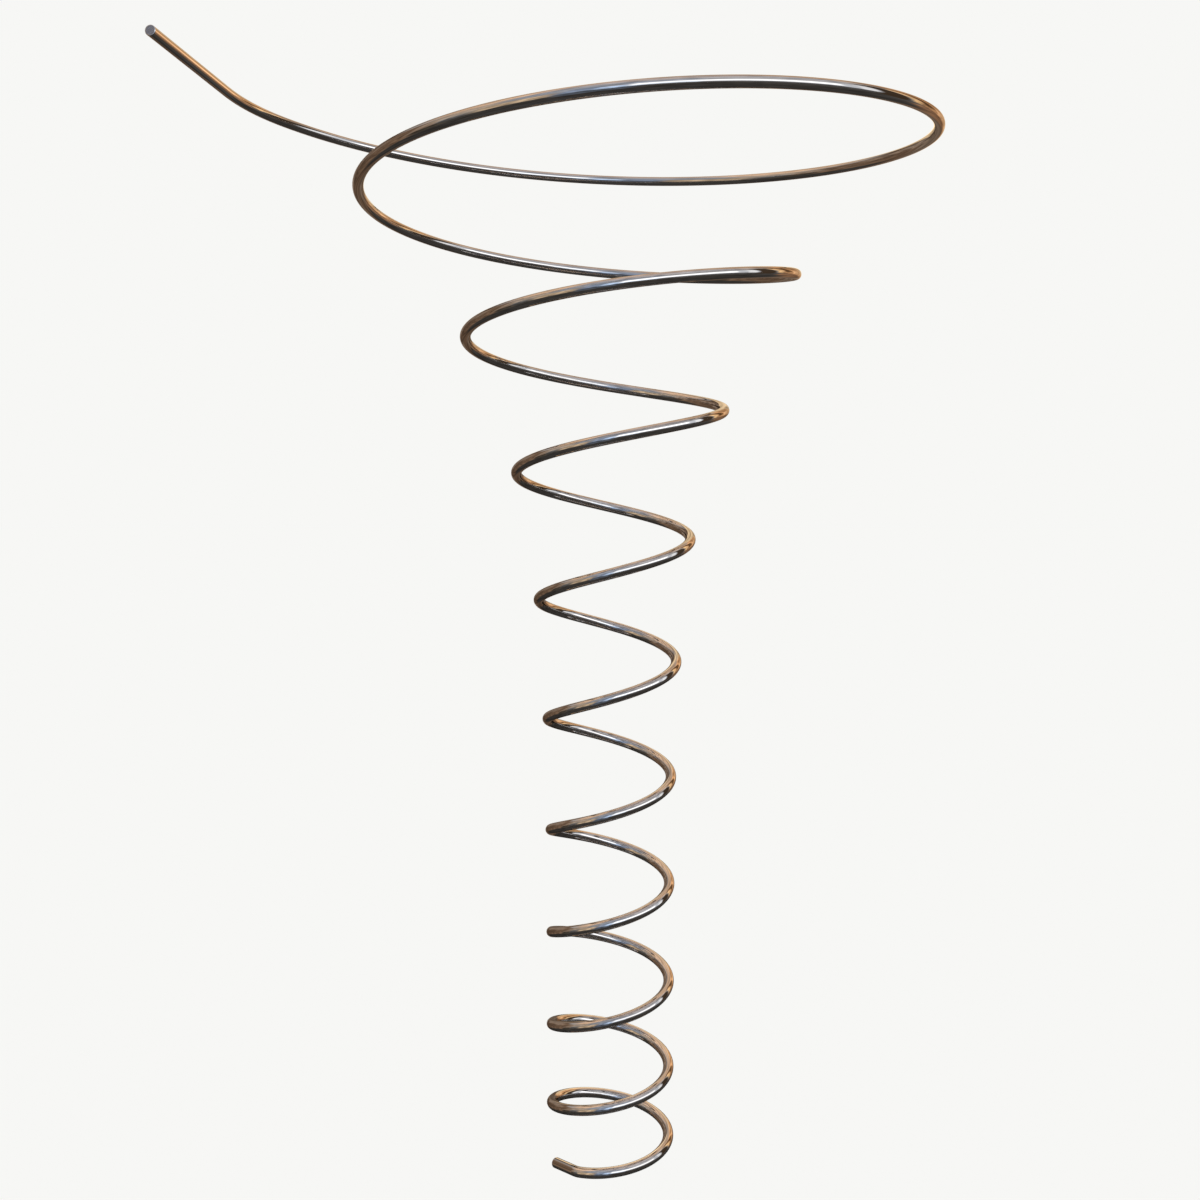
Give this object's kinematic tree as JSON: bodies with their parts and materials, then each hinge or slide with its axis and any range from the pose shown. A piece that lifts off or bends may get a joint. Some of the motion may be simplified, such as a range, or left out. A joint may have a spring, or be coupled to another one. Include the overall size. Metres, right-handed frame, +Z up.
{
  "type": "spring coil toy",
  "caption": "Steel wire coil spring toy that flares like a trumpet into a wide top ring and ends in a straight tail, by which it is held to bounce, stretch and sway.",
  "frame": {"origin": "on the coil's axis, level with the centre of the wire's foot end, where a rod or finger enters the coil", "axes": "+Z up along the coil's axis toward the wide ring, +X to the right and +Y away from the viewer as the coil is usually seen, with the tail's free end on the left (-X)"},
  "size_m": [0.1439, 0.1252, 0.2114],
  "materials": {
    "wire": "bright drawn steel spring wire, polished dark, with matt cut ends"
  },
  "bodies": {
    "tail": {"tail_pin": "wire", "tail_bend": "wire", "tail_arc": "wire"},
    "flare_01": {"flare_arc_01": "wire"},
    "flare_02": {"flare_arc_02": "wire"},
    "flare_03": {"flare_arc_03": "wire"},
    "flare_04": {"flare_arc_04": "wire"},
    "flare_05": {"flare_arc_05": "wire"},
    "flare_06": {"flare_arc_06": "wire"},
    "flare_07": {"flare_arc_07": "wire"},
    "flare_08": {"flare_arc_08": "wire"},
    "flare_09": {"flare_arc_09": "wire"},
    "flare_10": {"flare_arc_10": "wire"},
    "flare_11": {"flare_arc_11": "wire"},
    "flare_12": {"flare_arc_12": "wire"},
    "flare_13": {"flare_arc_13": "wire"},
    "flare_14": {"flare_arc_14": "wire"},
    "coil_01": {"coil_arc_01": "wire"},
    "coil_02": {"coil_arc_02": "wire"},
    "coil_03": {"coil_arc_03": "wire"},
    "coil_04": {"coil_arc_04": "wire"},
    "coil_05": {"coil_arc_05": "wire"},
    "coil_06": {"coil_arc_06": "wire"},
    "coil_07": {"coil_arc_07": "wire"},
    "coil_08": {"coil_arc_08": "wire"},
    "coil_09": {"coil_arc_09": "wire"},
    "coil_10": {"coil_arc_10": "wire"},
    "coil_11": {"coil_arc_11": "wire"},
    "coil_12": {"coil_arc_12": "wire"},
    "coil_13": {"coil_arc_13": "wire"},
    "coil_14": {"coil_arc_14": "wire"},
    "coil_15": {"coil_arc_15": "wire"},
    "coil_16": {"coil_arc_16": "wire"},
    "coil_17": {"coil_arc_17": "wire"},
    "coil_18": {"coil_arc_18": "wire"},
    "coil_19": {"coil_arc_19": "wire"},
    "coil_20": {"coil_arc_20": "wire"},
    "coil_21": {"coil_arc_21": "wire"},
    "foot": {"foot_arc_01": "wire", "foot_arc_02": "wire", "foot_arc_03": "wire", "foot_arc_04": "wire", "foot_bend": "wire", "foot_tip": "wire"}
  },
  "joints": [
    {"name": "flare_bounce", "type": "hinge", "parent": "tail", "child": "flare_01", "pos_m": [0, 0.07014, 0.20206], "axis": [0.994, -0.0912, -0.0602], "range_deg": [-8, 14], "stiffness_Nm_per_rad": 0.565, "springref_deg": -1.98},
    {"name": "flare_swing", "type": "hinge", "parent": "flare_01", "child": "flare_02", "pos_m": [0.06075, 0, 0.19541], "axis": [-0.0908, -0.9935, -0.069], "range_deg": [-6, 6], "stiffness_Nm_per_rad": 0.653, "springref_deg": -1.36},
    {"name": "flare_twist_03", "type": "hinge", "parent": "flare_02", "child": "flare_03", "pos_m": [0, -0.05266, 0.18881], "axis": [-0.9928, 0.0899, -0.0789], "range_deg": [-12.55, 21.95], "stiffness_Nm_per_rad": 0.753, "springref_deg": -0.93},
    {"name": "flare_twist_04", "type": "hinge", "parent": "flare_03", "child": "flare_04", "pos_m": [-0.04572, 0, 0.18226], "axis": [-0.0885, -0.992, 0.0901], "range_deg": [-4.53, 4.53], "stiffness_Nm_per_rad": 0.867, "springref_deg": 0.65},
    {"name": "flare_twist_05", "type": "hinge", "parent": "flare_04", "child": "flare_05", "pos_m": [0, 0.0398, 0.17577], "axis": [0.991, -0.0865, -0.1026], "range_deg": [-7.17, 12.53], "stiffness_Nm_per_rad": 0.996, "springref_deg": -0.46},
    {"name": "flare_twist_06", "type": "hinge", "parent": "flare_05", "child": "flare_06", "pos_m": [0.03476, 0, 0.16932], "axis": [-0.0838, -0.9897, -0.1163], "range_deg": [-3.45, 3.45], "stiffness_Nm_per_rad": 1.141, "springref_deg": -0.32},
    {"name": "flare_twist_07", "type": "hinge", "parent": "flare_06", "child": "flare_07", "pos_m": [0, -0.03051, 0.16293], "axis": [-0.9881, 0.0805, -0.1312], "range_deg": [-2.64, 4.6], "stiffness_Nm_per_rad": 1.3, "springref_deg": -0.23},
    {"name": "flare_twist_08", "type": "hinge", "parent": "flare_07", "child": "flare_08", "pos_m": [-0.02693, 0, 0.15659], "axis": [-0.0764, -0.9862, 0.1471], "range_deg": [-2.67, 2.67], "stiffness_Nm_per_rad": 1.472, "springref_deg": 0.17},
    {"name": "coil_stretch", "type": "hinge", "parent": "flare_08", "child": "flare_09", "pos_m": [0, 0.02393, 0.15031], "axis": [0.9839, -0.0715, -0.1637], "range_deg": [-6, 7], "stiffness_Nm_per_rad": 1.657, "springref_deg": -0.13},
    {"name": "coil_sway", "type": "hinge", "parent": "flare_09", "child": "flare_10", "pos_m": [0.02144, 0, 0.14408], "axis": [-0.0661, -0.9813, -0.1806], "range_deg": [-2.2, 2.2], "stiffness_Nm_per_rad": 1.85, "springref_deg": -0.09},
    {"name": "flare_twist_11", "type": "hinge", "parent": "flare_10", "child": "flare_11", "pos_m": [0, -0.01937, 0.13792], "axis": [-0.9785, 0.0601, -0.1973], "range_deg": [-12.01, 14.01], "stiffness_Nm_per_rad": 2.046, "springref_deg": -0.07},
    {"name": "flare_twist_12", "type": "hinge", "parent": "flare_11", "child": "flare_12", "pos_m": [-0.01768, 0, 0.13181], "axis": [-0.0537, -0.9755, 0.2134], "range_deg": [-2.22, 2.22], "stiffness_Nm_per_rad": 2.243, "springref_deg": 0.06},
    {"name": "flare_twist_13", "type": "hinge", "parent": "flare_12", "child": "flare_13", "pos_m": [0, 0.0163, 0.12577], "axis": [0.9724, -0.0472, -0.2284], "range_deg": [-12.01, 14.01], "stiffness_Nm_per_rad": 2.433, "springref_deg": -0.05},
    {"name": "flare_twist_14", "type": "hinge", "parent": "flare_13", "child": "flare_14", "pos_m": [0.01518, 0, 0.11979], "axis": [-0.0407, -0.9695, -0.2419], "range_deg": [-2.22, 2.22], "stiffness_Nm_per_rad": 2.612, "springref_deg": -0.04},
    {"name": "coil_twist_01", "type": "hinge", "parent": "flare_14", "child": "coil_01", "pos_m": [0, -0.01428, 0.11387], "axis": [-0.9667, 0.0345, -0.2535], "range_deg": [-12.01, 14.01], "stiffness_Nm_per_rad": 2.776, "springref_deg": -0.03},
    {"name": "coil_twist_02", "type": "hinge", "parent": "coil_01", "child": "coil_02", "pos_m": [-0.01357, 0, 0.10802], "axis": [-0.0287, -0.9643, 0.2631], "range_deg": [-2.22, 2.22], "stiffness_Nm_per_rad": 2.923, "springref_deg": 0.03},
    {"name": "coil_twist_03", "type": "hinge", "parent": "coil_02", "child": "coil_03", "pos_m": [0, 0.013, 0.10224], "axis": [0.9624, -0.0234, -0.2707], "range_deg": [-12.01, 14.01], "stiffness_Nm_per_rad": 3.049, "springref_deg": -0.02},
    {"name": "coil_twist_04", "type": "hinge", "parent": "coil_03", "child": "coil_04", "pos_m": [0.01256, 0, 0.09653], "axis": [-0.0188, -0.9609, -0.2762], "range_deg": [-2.22, 2.22], "stiffness_Nm_per_rad": 3.156, "springref_deg": -0.02},
    {"name": "coil_twist_05", "type": "hinge", "parent": "coil_04", "child": "coil_05", "pos_m": [0, -0.01222, 0.0909], "axis": [-0.9599, 0.0148, -0.2799], "range_deg": [-12.01, 14.01], "stiffness_Nm_per_rad": 3.244, "springref_deg": -0.02},
    {"name": "coil_twist_06", "type": "hinge", "parent": "coil_05", "child": "coil_06", "pos_m": [-0.01196, 0, 0.08534], "axis": [-0.0114, -0.9594, 0.2818], "range_deg": [-2.22, 2.22], "stiffness_Nm_per_rad": 3.314, "springref_deg": 0.02},
    {"name": "coil_twist_07", "type": "hinge", "parent": "coil_06", "child": "coil_07", "pos_m": [0, 0.01177, 0.07986], "axis": [0.9593, -0.0087, -0.2823], "range_deg": [-12.01, 14.01], "stiffness_Nm_per_rad": 3.368, "springref_deg": -0.02},
    {"name": "coil_twist_08", "type": "hinge", "parent": "coil_07", "child": "coil_08", "pos_m": [0.01163, 0, 0.07446], "axis": [-0.0064, -0.9595, -0.2815], "range_deg": [-2.22, 2.22], "stiffness_Nm_per_rad": 3.41, "springref_deg": -0.01},
    {"name": "coil_twist_09", "type": "hinge", "parent": "coil_08", "child": "coil_09", "pos_m": [0, -0.01152, 0.06914], "axis": [-0.9601, 0.0047, -0.2796], "range_deg": [-12.01, 14.01], "stiffness_Nm_per_rad": 3.441, "springref_deg": -0.01},
    {"name": "coil_twist_10", "type": "hinge", "parent": "coil_09", "child": "coil_10", "pos_m": [-0.01145, 0, 0.06391], "axis": [-0.0033, -0.9609, 0.2768], "range_deg": [-2.22, 2.22], "stiffness_Nm_per_rad": 3.464, "springref_deg": 0.01},
    {"name": "coil_twist_11", "type": "hinge", "parent": "coil_10", "child": "coil_11", "pos_m": [0, 0.0114, 0.05878], "axis": [0.9619, -0.0023, -0.2733], "range_deg": [-12.01, 14.01], "stiffness_Nm_per_rad": 3.479, "springref_deg": -0.01},
    {"name": "coil_twist_12", "type": "hinge", "parent": "coil_11", "child": "coil_12", "pos_m": [0.01136, 0, 0.05374], "axis": [-0.0016, -0.9631, -0.2692], "range_deg": [-2.22, 2.22], "stiffness_Nm_per_rad": 3.49, "springref_deg": -0.01},
    {"name": "coil_twist_13", "type": "hinge", "parent": "coil_12", "child": "coil_13", "pos_m": [0, -0.01134, 0.04881], "axis": [-0.9644, 0.001, -0.2644], "range_deg": [-12.01, 14.01], "stiffness_Nm_per_rad": 3.498, "springref_deg": -0.01},
    {"name": "coil_twist_14", "type": "hinge", "parent": "coil_13", "child": "coil_14", "pos_m": [-0.01132, 0, 0.04398], "axis": [-0.0006, -0.9658, 0.2592], "range_deg": [-2.22, 2.22], "stiffness_Nm_per_rad": 3.502, "springref_deg": 0.01},
    {"name": "coil_twist_15", "type": "hinge", "parent": "coil_14", "child": "coil_15", "pos_m": [0, 0.01131, 0.03927], "axis": [0.9674, -0.0004, -0.2534], "range_deg": [-12.01, 14.01], "stiffness_Nm_per_rad": 3.505, "springref_deg": -0.01},
    {"name": "coil_twist_16", "type": "hinge", "parent": "coil_15", "child": "coil_16", "pos_m": [0.01131, 0, 0.03467], "axis": [-0.0002, -0.969, -0.2471], "range_deg": [-2.22, 2.22], "stiffness_Nm_per_rad": 3.507, "springref_deg": -0.01},
    {"name": "coil_twist_17", "type": "hinge", "parent": "coil_16", "child": "coil_17", "pos_m": [0, -0.0113, 0.03021], "axis": [-0.9707, 0.0001, -0.2402], "range_deg": [-12.01, 14.01], "stiffness_Nm_per_rad": 3.508, "springref_deg": -0.01},
    {"name": "coil_twist_18", "type": "hinge", "parent": "coil_17", "child": "coil_18", "pos_m": [-0.0113, 0, 0.02589], "axis": [-0.0001, -0.9726, 0.2327], "range_deg": [-2.22, 2.22], "stiffness_Nm_per_rad": 3.508, "springref_deg": 0.01},
    {"name": "coil_twist_19", "type": "hinge", "parent": "coil_18", "child": "coil_19", "pos_m": [0, 0.0113, 0.02172], "axis": [0.9745, 0, -0.2243], "range_deg": [-12.01, 14.01], "stiffness_Nm_per_rad": 3.509, "springref_deg": -0.01},
    {"name": "coil_twist_20", "type": "hinge", "parent": "coil_19", "child": "coil_20", "pos_m": [0.0113, 0, 0.01773], "axis": [0, -0.9766, -0.215], "range_deg": [-2.22, 2.22], "stiffness_Nm_per_rad": 3.509, "springref_deg": 0},
    {"name": "coil_twist_21", "type": "hinge", "parent": "coil_20", "child": "coil_21", "pos_m": [0, -0.0113, 0.01392], "axis": [-0.9789, 0, -0.2043], "range_deg": [-12.01, 14.01], "stiffness_Nm_per_rad": 3.509, "springref_deg": 0},
    {"name": "foot_twist", "type": "hinge", "parent": "coil_21", "child": "foot", "pos_m": [-0.0113, 0, 0.01033], "axis": [0, -0.9814, 0.1918], "range_deg": [-2.22, 2.22], "stiffness_Nm_per_rad": 3.509, "springref_deg": 0}
  ],
  "couplings": [
    {"joint": "flare_twist_03", "follows": "flare_bounce", "ratio": 1.5664},
    {"joint": "flare_twist_04", "follows": "flare_swing", "ratio": 0.7526},
    {"joint": "flare_twist_05", "follows": "flare_bounce", "ratio": 0.894},
    {"joint": "flare_twist_06", "follows": "flare_swing", "ratio": 0.5723},
    {"joint": "flare_twist_07", "follows": "flare_bounce", "ratio": 0.3275},
    {"joint": "flare_twist_08", "follows": "flare_swing", "ratio": 0.4433},
    {"joint": "flare_twist_11", "follows": "coil_stretch", "ratio": 2},
    {"joint": "flare_twist_12", "follows": "coil_sway", "ratio": 1},
    {"joint": "flare_twist_13", "follows": "coil_stretch", "ratio": 2},
    {"joint": "flare_twist_14", "follows": "coil_sway", "ratio": 1},
    {"joint": "coil_twist_01", "follows": "coil_stretch", "ratio": 2},
    {"joint": "coil_twist_02", "follows": "coil_sway", "ratio": 1},
    {"joint": "coil_twist_03", "follows": "coil_stretch", "ratio": 2},
    {"joint": "coil_twist_04", "follows": "coil_sway", "ratio": 1},
    {"joint": "coil_twist_05", "follows": "coil_stretch", "ratio": 2},
    {"joint": "coil_twist_06", "follows": "coil_sway", "ratio": 1},
    {"joint": "coil_twist_07", "follows": "coil_stretch", "ratio": 2},
    {"joint": "coil_twist_08", "follows": "coil_sway", "ratio": 1},
    {"joint": "coil_twist_09", "follows": "coil_stretch", "ratio": 2},
    {"joint": "coil_twist_10", "follows": "coil_sway", "ratio": 1},
    {"joint": "coil_twist_11", "follows": "coil_stretch", "ratio": 2},
    {"joint": "coil_twist_12", "follows": "coil_sway", "ratio": 1},
    {"joint": "coil_twist_13", "follows": "coil_stretch", "ratio": 2},
    {"joint": "coil_twist_14", "follows": "coil_sway", "ratio": 1},
    {"joint": "coil_twist_15", "follows": "coil_stretch", "ratio": 2},
    {"joint": "coil_twist_16", "follows": "coil_sway", "ratio": 1},
    {"joint": "coil_twist_17", "follows": "coil_stretch", "ratio": 2},
    {"joint": "coil_twist_18", "follows": "coil_sway", "ratio": 1},
    {"joint": "coil_twist_19", "follows": "coil_stretch", "ratio": 2},
    {"joint": "coil_twist_20", "follows": "coil_sway", "ratio": 1},
    {"joint": "coil_twist_21", "follows": "coil_stretch", "ratio": 2},
    {"joint": "foot_twist", "follows": "coil_sway", "ratio": 1}
  ]
}
